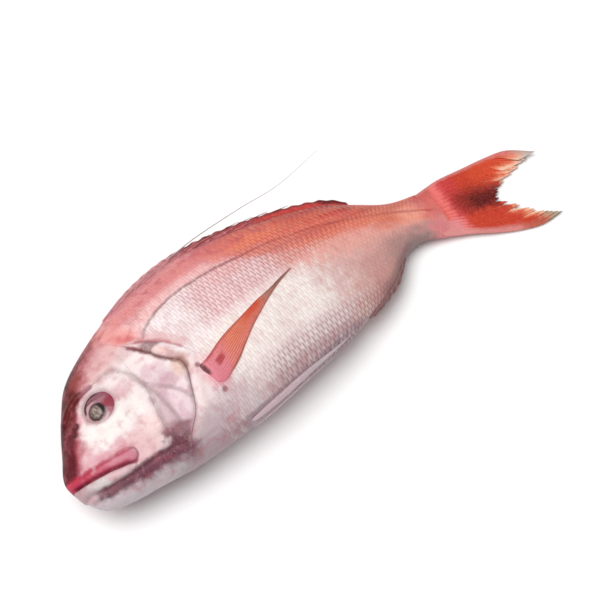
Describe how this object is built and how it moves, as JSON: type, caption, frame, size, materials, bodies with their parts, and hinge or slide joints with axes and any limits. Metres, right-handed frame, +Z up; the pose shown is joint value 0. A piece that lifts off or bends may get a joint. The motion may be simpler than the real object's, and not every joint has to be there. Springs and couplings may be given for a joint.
{
  "type": "whole raw fish",
  "caption": "Whole raw red sea bream lying on its right side, with eyes, gill covers, folded fins and a forked tail fin.",
  "frame": {"origin": "middle of the fish's bounding box, on the surface it lies on", "axes": "+X from the snout to the tail, +Y from the belly to the back, +Z up, out of the fish's left side"},
  "size_m": [0.3774, 0.1438, 0.0524],
  "materials": {
    "skin": "wet scaly skin, red on the back and pale pink and silver on the flank",
    "gill_cover": "wet silver-pink skin over thin bone",
    "eye": "wet, dark ring round a cloudy grey pupil",
    "red_fin": "wet red-orange membrane over fine bony rays",
    "pale_fin": "wet, thin and pale membrane over fine bony rays",
    "filament": "thin grey thread, dull"
  },
  "bodies": {
    "root": {"body": "skin", "left_eye": "eye", "right_eye": "eye", "left_gill_cover": "gill_cover", "right_gill_cover": "gill_cover", "left_pectoral_fin": "red_fin", "right_pectoral_fin": "red_fin", "left_pelvic_fin": "pale_fin", "right_pelvic_fin": "pale_fin", "dorsal_fin": "red_fin", "dorsal_filament": "filament", "anal_fin": "pale_fin", "tail_fin": "red_fin"}
  },
  "joints": []
}
